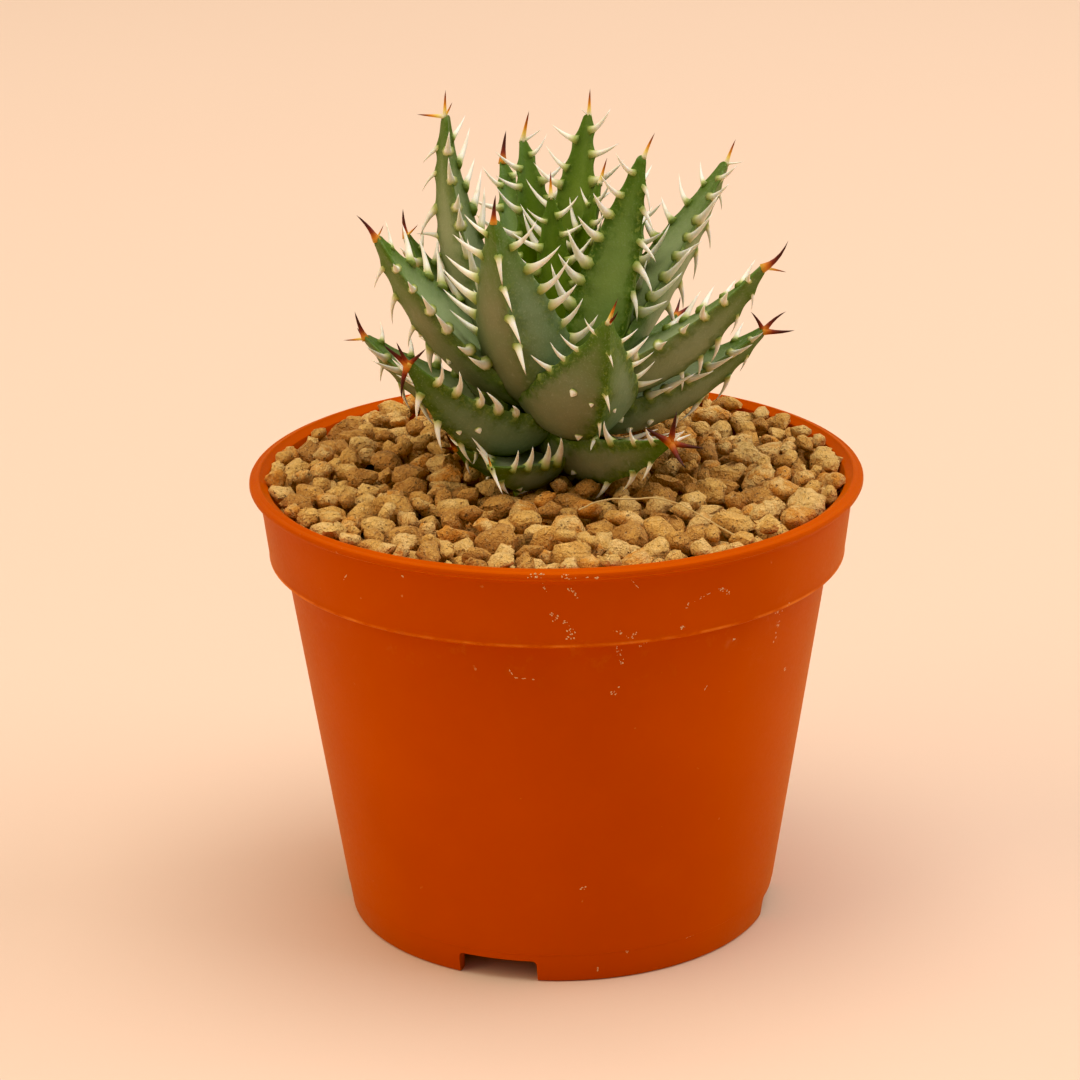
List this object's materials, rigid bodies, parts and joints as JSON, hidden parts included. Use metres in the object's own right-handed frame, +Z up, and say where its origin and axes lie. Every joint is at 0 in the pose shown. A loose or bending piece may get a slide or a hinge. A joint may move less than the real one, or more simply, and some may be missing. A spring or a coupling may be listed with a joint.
{
  "type": "potted aloe",
  "caption": "Small toothed aloe rosette in a round orange nursery pot, its soil covered with tan gravel.",
  "frame": {"origin": "on the pot's axis, on the surface that the pot stands on", "axes": "+Z up along the pot's axis; -Y faces the picture's viewer, +X is to the viewer's right"},
  "size_m": [0.09, 0.09, 0.1222],
  "materials": {
    "orange_plastic": "satin, moulded, slightly dusty",
    "soil": "rough, dark and loose",
    "gravel": "rough, porous, tan",
    "stem_skin": "dull, dry",
    "leaf_skin": "satin with a pale waxy bloom"
  },
  "bodies": {
    "root": {"gravel": "gravel", "leaf_01": "leaf_skin", "leaf_02": "leaf_skin", "leaf_03": "leaf_skin", "leaf_04": "leaf_skin", "leaf_05": "leaf_skin", "leaf_06": "leaf_skin", "leaf_07": "leaf_skin", "leaf_08": "leaf_skin", "leaf_09": "leaf_skin", "leaf_10": "leaf_skin", "leaf_11": "leaf_skin", "leaf_12": "leaf_skin", "leaf_13": "leaf_skin", "leaf_14": "leaf_skin", "leaf_15": "leaf_skin", "leaf_16": "leaf_skin", "leaf_17": "leaf_skin", "leaf_18": "leaf_skin", "leaf_19": "leaf_skin", "leaf_20": "leaf_skin", "leaf_21": "leaf_skin", "leaf_22": "leaf_skin", "leaf_23": "leaf_skin", "leaf_24": "leaf_skin", "pot": "orange_plastic", "potting_soil": "soil", "stem": "stem_skin"}
  },
  "joints": []
}
